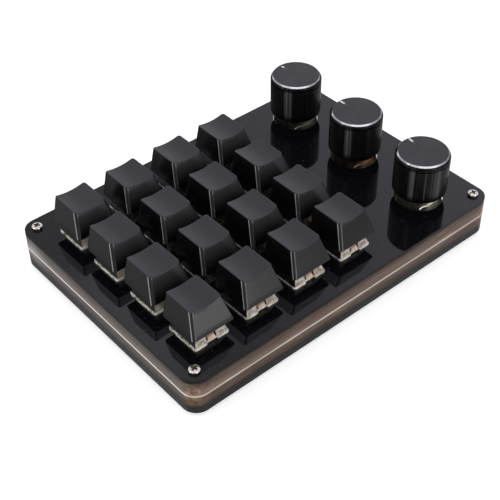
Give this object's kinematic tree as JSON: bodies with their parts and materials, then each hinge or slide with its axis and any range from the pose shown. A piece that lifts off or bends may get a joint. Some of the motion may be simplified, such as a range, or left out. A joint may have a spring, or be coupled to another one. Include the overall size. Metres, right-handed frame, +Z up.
{
  "type": "macro keypad",
  "caption": "Low desktop macro keypad: a block of sprung keys beside a column of knobs that turn and push, in a layered acrylic case with corner screws.",
  "frame": {"origin": "middle of the case, on the surface that the feet stand on", "axes": "+X to the right along the long side, towards the knobs, +Y to the back, +Z up"},
  "size_m": [0.154, 0.11, 0.0406],
  "materials": {
    "black_acrylic": "polished black acrylic",
    "smoked_acrylic": "polished smoked acrylic, see-through at the edges",
    "milky_acrylic": "milky acrylic",
    "rubber": "matt",
    "nickel": "nickel plate",
    "board": "white solder mask",
    "chip_black": "moulded epoxy",
    "steel": "plated",
    "milky_housing": "milky see-through moulding",
    "contact_brass": "plated",
    "encoder_metal": "die cast",
    "cap_plastic": "fine satin moulding",
    "stem_plastic": "natural acetal",
    "knob_aluminium": "black anodised, with a bright cut rim",
    "insert_plastic": "moulded",
    "shaft_metal": "machined",
    "rotor_plastic": "moulded"
  },
  "bodies": {
    "case": {"top_plate": "black_acrylic", "upper_frame": "smoked_acrylic", "light_layer": "milky_acrylic", "lower_frame": "smoked_acrylic", "base_plate": "black_acrylic", "feet": "rubber", "case_screws": "nickel", "case_nuts": "nickel", "pcb": "board", "pcb_parts": "chip_black", "usb_port": "steel", "switch_bases": "milky_housing", "switch_tops": "milky_housing", "switch_springs": "steel", "switch_contacts": "contact_brass", "encoder_cases": "encoder_metal"},
    "key_r1c1": {"keycap_r1c1": "cap_plastic", "stem_r1c1": "stem_plastic"},
    "key_r1c2": {"keycap_r1c2": "cap_plastic", "stem_r1c2": "stem_plastic"},
    "key_r1c3": {"keycap_r1c3": "cap_plastic", "stem_r1c3": "stem_plastic"},
    "key_r1c4": {"keycap_r1c4": "cap_plastic", "stem_r1c4": "stem_plastic"},
    "key_r2c1": {"keycap_r2c1": "cap_plastic", "stem_r2c1": "stem_plastic"},
    "key_r2c2": {"keycap_r2c2": "cap_plastic", "stem_r2c2": "stem_plastic"},
    "key_r2c3": {"keycap_r2c3": "cap_plastic", "stem_r2c3": "stem_plastic"},
    "key_r2c4": {"keycap_r2c4": "cap_plastic", "stem_r2c4": "stem_plastic"},
    "key_r3c1": {"keycap_r3c1": "cap_plastic", "stem_r3c1": "stem_plastic"},
    "key_r3c2": {"keycap_r3c2": "cap_plastic", "stem_r3c2": "stem_plastic"},
    "key_r3c3": {"keycap_r3c3": "cap_plastic", "stem_r3c3": "stem_plastic"},
    "key_r3c4": {"keycap_r3c4": "cap_plastic", "stem_r3c4": "stem_plastic"},
    "key_r4c1": {"keycap_r4c1": "cap_plastic", "stem_r4c1": "stem_plastic"},
    "key_r4c2": {"keycap_r4c2": "cap_plastic", "stem_r4c2": "stem_plastic"},
    "key_r4c3": {"keycap_r4c3": "cap_plastic", "stem_r4c3": "stem_plastic"},
    "key_r4c4": {"keycap_r4c4": "cap_plastic", "stem_r4c4": "stem_plastic"},
    "rotor_front": {"encoder_rotor_front": "rotor_plastic"},
    "knob_front": {"encoder_shaft_front": "shaft_metal", "knob_insert_front": "insert_plastic", "knob_shell_front": "knob_aluminium"},
    "rotor_middle": {"encoder_rotor_middle": "rotor_plastic"},
    "knob_middle": {"encoder_shaft_middle": "shaft_metal", "knob_insert_middle": "insert_plastic", "knob_shell_middle": "knob_aluminium"},
    "rotor_back": {"encoder_rotor_back": "rotor_plastic"},
    "knob_back": {"encoder_shaft_back": "shaft_metal", "knob_insert_back": "insert_plastic", "knob_shell_back": "knob_aluminium"}
  },
  "joints": [
    {"name": "press_r1c1", "type": "slide", "parent": "case", "child": "key_r1c1", "axis": [0, 0, -1], "range_m": [0, 0.004], "stiffness_N_per_m": 75, "springref_m": -0.004, "deforming": ["switch_springs"]},
    {"name": "press_r1c2", "type": "slide", "parent": "case", "child": "key_r1c2", "axis": [0, 0, -1], "range_m": [0, 0.004], "stiffness_N_per_m": 75, "springref_m": -0.004, "deforming": ["switch_springs"]},
    {"name": "press_r1c3", "type": "slide", "parent": "case", "child": "key_r1c3", "axis": [0, 0, -1], "range_m": [0, 0.004], "stiffness_N_per_m": 75, "springref_m": -0.004, "deforming": ["switch_springs"]},
    {"name": "press_r1c4", "type": "slide", "parent": "case", "child": "key_r1c4", "axis": [0, 0, -1], "range_m": [0, 0.004], "stiffness_N_per_m": 75, "springref_m": -0.004, "deforming": ["switch_springs"]},
    {"name": "press_r2c1", "type": "slide", "parent": "case", "child": "key_r2c1", "axis": [0, 0, -1], "range_m": [0, 0.004], "stiffness_N_per_m": 75, "springref_m": -0.004, "deforming": ["switch_springs"]},
    {"name": "press_r2c2", "type": "slide", "parent": "case", "child": "key_r2c2", "axis": [0, 0, -1], "range_m": [0, 0.004], "stiffness_N_per_m": 75, "springref_m": -0.004, "deforming": ["switch_springs"]},
    {"name": "press_r2c3", "type": "slide", "parent": "case", "child": "key_r2c3", "axis": [0, 0, -1], "range_m": [0, 0.004], "stiffness_N_per_m": 75, "springref_m": -0.004, "deforming": ["switch_springs"]},
    {"name": "press_r2c4", "type": "slide", "parent": "case", "child": "key_r2c4", "axis": [0, 0, -1], "range_m": [0, 0.004], "stiffness_N_per_m": 75, "springref_m": -0.004, "deforming": ["switch_springs"]},
    {"name": "press_r3c1", "type": "slide", "parent": "case", "child": "key_r3c1", "axis": [0, 0, -1], "range_m": [0, 0.004], "stiffness_N_per_m": 75, "springref_m": -0.004, "deforming": ["switch_springs"]},
    {"name": "press_r3c2", "type": "slide", "parent": "case", "child": "key_r3c2", "axis": [0, 0, -1], "range_m": [0, 0.004], "stiffness_N_per_m": 75, "springref_m": -0.004, "deforming": ["switch_springs"]},
    {"name": "press_r3c3", "type": "slide", "parent": "case", "child": "key_r3c3", "axis": [0, 0, -1], "range_m": [0, 0.004], "stiffness_N_per_m": 75, "springref_m": -0.004, "deforming": ["switch_springs"]},
    {"name": "press_r3c4", "type": "slide", "parent": "case", "child": "key_r3c4", "axis": [0, 0, -1], "range_m": [0, 0.004], "stiffness_N_per_m": 75, "springref_m": -0.004, "deforming": ["switch_springs"]},
    {"name": "press_r4c1", "type": "slide", "parent": "case", "child": "key_r4c1", "axis": [0, 0, -1], "range_m": [0, 0.004], "stiffness_N_per_m": 75, "springref_m": -0.004, "deforming": ["switch_springs"]},
    {"name": "press_r4c2", "type": "slide", "parent": "case", "child": "key_r4c2", "axis": [0, 0, -1], "range_m": [0, 0.004], "stiffness_N_per_m": 75, "springref_m": -0.004, "deforming": ["switch_springs"]},
    {"name": "press_r4c3", "type": "slide", "parent": "case", "child": "key_r4c3", "axis": [0, 0, -1], "range_m": [0, 0.004], "stiffness_N_per_m": 75, "springref_m": -0.004, "deforming": ["switch_springs"]},
    {"name": "press_r4c4", "type": "slide", "parent": "case", "child": "key_r4c4", "axis": [0, 0, -1], "range_m": [0, 0.004], "stiffness_N_per_m": 75, "springref_m": -0.004, "deforming": ["switch_springs"]},
    {"name": "turn_front", "type": "hinge", "parent": "case", "child": "rotor_front", "pos_m": [0.0548, -0.0355, 0.0182], "axis": [0, 0, 1], "continuous": true},
    {"name": "push_front", "type": "slide", "parent": "rotor_front", "child": "knob_front", "axis": [0, 0, -1], "range_m": [0, 0.0005], "stiffness_N_per_m": 2000, "springref_m": -0.0012},
    {"name": "turn_middle", "type": "hinge", "parent": "case", "child": "rotor_middle", "pos_m": [0.0548, 0.00125, 0.0182], "axis": [0, 0, 1], "continuous": true},
    {"name": "push_middle", "type": "slide", "parent": "rotor_middle", "child": "knob_middle", "axis": [0, 0, -1], "range_m": [0, 0.0005], "stiffness_N_per_m": 2000, "springref_m": -0.0012},
    {"name": "turn_back", "type": "hinge", "parent": "case", "child": "rotor_back", "pos_m": [0.0548, 0.038, 0.0182], "axis": [0, 0, 1], "continuous": true},
    {"name": "push_back", "type": "slide", "parent": "rotor_back", "child": "knob_back", "axis": [0, 0, -1], "range_m": [0, 0.0005], "stiffness_N_per_m": 2000, "springref_m": -0.0012}
  ]
}
